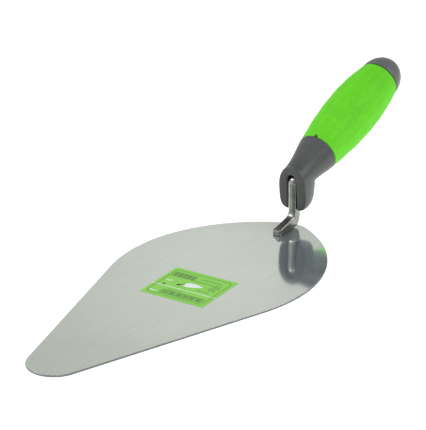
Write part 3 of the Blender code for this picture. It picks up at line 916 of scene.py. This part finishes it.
def draw_title_blocks(dark):
    """Outlined upright blocks in the place of a title, with a row of dashes above."""
    y = BLOCKS_START
    for k in range(BLOCKS):
        width = (1.8, 2.1, 1.7)[k % 3]
        outer = rounded_outline(BLOCK_HEIGHT * MM, width * MM, 0.3 * MM, 2)
        inner = rounded_outline((BLOCK_HEIGHT - 2 * BLOCK_LINE) * MM, (width - 2 * BLOCK_LINE) * MM,
                                0.1 * MM, 2)
        shift = (BLOCKS_X * MM, (y - width / 2) * MM)
        dark.frame([(px + shift[0], py + shift[1]) for px, py in outer],
                   [(px + shift[0], py + shift[1]) for px, py in inner])
        if k % 2:
            dark.bar(*shift, STROKE_LENGTH * MM, BLOCK_LINE * MM)
        y -= width + BLOCK_GAP
    for k in range(8):
        dark.bar(-8.8 * MM, (8.6 - 1.25 * k) * MM, 0.55 * MM, 0.85 * MM)


def draw_pictogram(dark, white):
    """A small trowel: a white leaf-shaped blade and a dark handle."""
    steps, start, length, half_width = 24, 5.0, 12.8, 3.0
    edge = []
    for step in range(steps + 1):
        share = step / steps
        edge.append((start - length * share,
                     half_width * max(0.0, sin(pi * share ** 0.62)) ** 0.8))

    def leaning(x, y):
        return ((x + 1.4 + 0.15 * (start - y)) * MM, y * MM)

    outline = [leaning(half, y) for y, half in edge]
    outline += [leaning(-half, y) for y, half in edge[-2:0:-1]]
    white.shape(outline)
    for x, y, length, width in HANDLE_PARTS:
        handle = rounded_outline(length * MM, width * MM, 0.35 * width * MM, 3)
        dark.shape([(px + x * MM, py + y * MM) for px, py in handle])
    dot = rounded_outline(1.8 * MM, 2.0 * MM, 0.8 * MM, 3)
    dark.shape([(px - 3.6 * MM, py + 15.9 * MM) for px, py in dot])


# ---------------------------------------------------------------- CAD nodes that stay

def give(node, material):
    """The CAD node with that finish in place of its plain one."""
    item = nodes[node]
    item.data.materials.clear()
    item.data.materials.append(material)
    return item


def soften_edges(item, width):
    """Breaks a CAD node's sharp edges."""
    weld = item.modifiers.new("Weld", "WELD")
    weld.merge_threshold = 0.01 * MM
    bevel = item.modifiers.new("Edge", "BEVEL")
    bevel.width = width
    bevel.segments = 3
    bevel.limit_method = "ANGLE"
    bevel.angle_limit = radians(50)
    bevel.harden_normals = True


# ---------------------------------------------------------------- studio

# The photograph's view, in metres and millimetres of lens, fitted to the blade's outline.
CAMERA_FROM = Vector((-0.9020, -0.6445, 0.4957))
CAMERA_AT = Vector((0.0441, 0.0348, 0.0145))
CAMERA_LENS = 164.9
FLOOR_HALF = 6.0                        # in metres
FLOOR_DROP = 0.05 * MM                  # below the blade's underside
FLOOR_GLOW = 0.62


def build_camera():
    """A long lens from the front left and above."""
    data = bpy.data.cameras.new("camera")
    data.lens = CAMERA_LENS
    data.sensor_width = 36.0
    data.clip_start, data.clip_end = 0.05, 50.0
    camera = link(bpy.data.objects.new("camera", data))
    camera.location = CAMERA_FROM
    camera.rotation_euler = (CAMERA_AT - CAMERA_FROM).to_track_quat("-Z", "Y").to_euler()
    bpy.context.scene.camera = camera


def build_floor():
    """A wide white table that glows slightly, so that shadows on it stay faint."""
    corners = [(x * FLOOR_HALF, y * FLOOR_HALF, 0) for x, y in ((-1, -1), (1, -1), (1, 1), (-1, 1))]
    floor = add_mesh("floor", corners, [(0, 1, 2, 3)], smooth=False)
    floor.location.z = -FLOOR_DROP
    n = Nodes("white_table")
    paper = n.noise(40, detail=2)
    colour = n.ramp(paper, [(0.3, 0.90), (0.7, 0.92)])
    rough = n.ramp(paper, [(0.3, 0.85), (0.7, 0.95)])
    n.shader.inputs["Emission Color"].default_value = (1, 1, 1, 1)
    n.shader.inputs["Emission Strength"].default_value = FLOOR_GLOW
    floor.data.materials.append(n.finish(colour, rough, Specular_IOR_Level=0.0))


def direction(azimuth, elevation):
    """A unit direction, azimuth counted from +X towards +Y."""
    a, e = radians(azimuth), radians(elevation)
    return (cos(a) * cos(e), sin(a) * cos(e), sin(e))


def build_world():
    """A pale tent: its walls brightest at mid height and dim overhead, with soft panels."""
    world = bpy.data.worlds.new("studio")
    world.use_nodes = True
    bpy.context.scene.world = world
    tree = world.node_tree
    place = tree.nodes.new("ShaderNodeTexCoord").outputs["Generated"]

    def math(operation, a, b):
        node = tree.nodes.new("ShaderNodeMath")
        node.operation = operation
        for socket, value in zip(node.inputs, (a, b)):
            if isinstance(value, (int, float)):
                socket.default_value = value
            else:
                tree.links.new(value, socket)
        return node.outputs["Value"]

    def panel(azimuth, elevation, spread, gain):
        """A soft round glow of that half width in degrees."""
        node = tree.nodes.new("ShaderNodeVectorMath")
        node.operation = "DOT_PRODUCT"
        tree.links.new(place, node.inputs[0])
        node.inputs[1].default_value = direction(azimuth, elevation)
        away = math("SUBTRACT", 1.0, node.outputs["Value"])
        fall = math("DIVIDE", away, 1.0 - cos(radians(spread)))
        return math("MULTIPLY", math("EXPONENT", math("MULTIPLY", fall, PANEL_FALL), 0.0), gain)

    axes = tree.nodes.new("ShaderNodeSeparateXYZ")
    tree.links.new(place, axes.inputs[0])
    walls = tree.nodes.new("ShaderNodeValToRGB")
    tree.links.new(axes.outputs["Z"], walls.inputs["Fac"])
    ramp = walls.color_ramp
    while len(ramp.elements) < len(WALLS):
        ramp.elements.new(0.5)
    for element, (height, value) in zip(ramp.elements, WALLS):
        element.position = height
        element.color = (value, value, value, 1.0)
    total = walls.outputs["Color"]
    for azimuth, elevation, spread, gain in PANELS:
        total = math("ADD", total, panel(azimuth, elevation, spread, gain))
    background = tree.nodes["Background"]
    background.inputs["Color"].default_value = (1.0, 1.0, 1.0, 1.0)
    tree.links.new(total, background.inputs["Strength"])


WALLS = (                               # brightness by the sine of the height above the horizon
    (0.0, 0.60), (0.35, 0.57), (0.383, 0.60), (0.407, 0.70), (0.44, 0.70), (0.51, 0.58),
    (0.62, 0.36), (0.80, 0.28), (1.0, 0.27),
)
PANEL_FALL = -0.7                       # halves a panel's glow at its half width
PANELS = (                              # azimuth, elevation, half width, gain
    (35.7, 24.8, 3.7, 0.27),            # faces the blade's mirror in the main view
    (31.0, 21.6, 2.2, -0.26),           # and the darker end of that wall
    (144, 22, 12, 0.6),                 # pale softbox on the left
    (123, 46, 14, 1.8),                 # softbox that lights the shank's bend
    (215, 10, 45, -0.24),               # the dark room behind the camera
    (-54, 8, 35, -0.25),                # and a dimmer corner on the right
)
LAMP_AIM = Vector((0.06, 0, 0.03))
LAMPS = (                               # azimuth, elevation, distance, diameter, watts
    ("key", 126, 47, 1.2, 0.50, 3.2),
    ("fill", -58, 40, 1.2, 0.60, 3.9),
    ("front", 215, 62, 1.2, 0.60, 3.3),
)


def build_lamp(name, azimuth, elevation, distance, diameter, watts):
    """A round softbox that faces the handle's front end."""
    data = bpy.data.lights.new(name, "AREA")
    data.shape = "DISK"
    data.size = diameter
    data.energy = watts
    lamp = link(bpy.data.objects.new(name, data))
    away = Vector(direction(azimuth, elevation))
    lamp.location = LAMP_AIM + distance * away
    lamp.rotation_euler = away.to_track_quat("Z", "Y").to_euler()


# ---------------------------------------------------------------- assembly

bpy.context.scene.view_settings.view_transform = "Standard"

soften_edges(give("blade", blade_steel()), 0.22 * MM)
give("handle_core", moulded_plastic("core_plastic", (0.045, 0.046, 0.046), (0.060, 0.061, 0.061), 0.5, 0.6))
cap_plastic = moulded_plastic("cap_plastic", (0.104, 0.113, 0.107), (0.119, 0.129, 0.122), 0.36, 0.48,
                              sheen=0.15)
soften_edges(give("end_cap", cap_plastic), 0.3 * MM)
build_shank(forged_steel())
build_weld(weld_metal())
build_collar(moulded_plastic("collar_plastic", (0.069, 0.075, 0.073), (0.082, 0.089, 0.086), 0.34, 0.46,
                             gloss=0.40))
build_grip(soft_grip())
build_label(label_film("label_green", (0.23, 0.64, 0.062), (0.26, 0.68, 0.082)),
            label_film("label_dark_ink", (0.015, 0.03, 0.018), (0.03, 0.05, 0.03)),
            label_film("label_white_ink", (0.78, 0.86, 0.84), (0.84, 0.92, 0.90)))

build_floor()
build_world()
for lamp in LAMPS:
    build_lamp(*lamp)
build_camera()
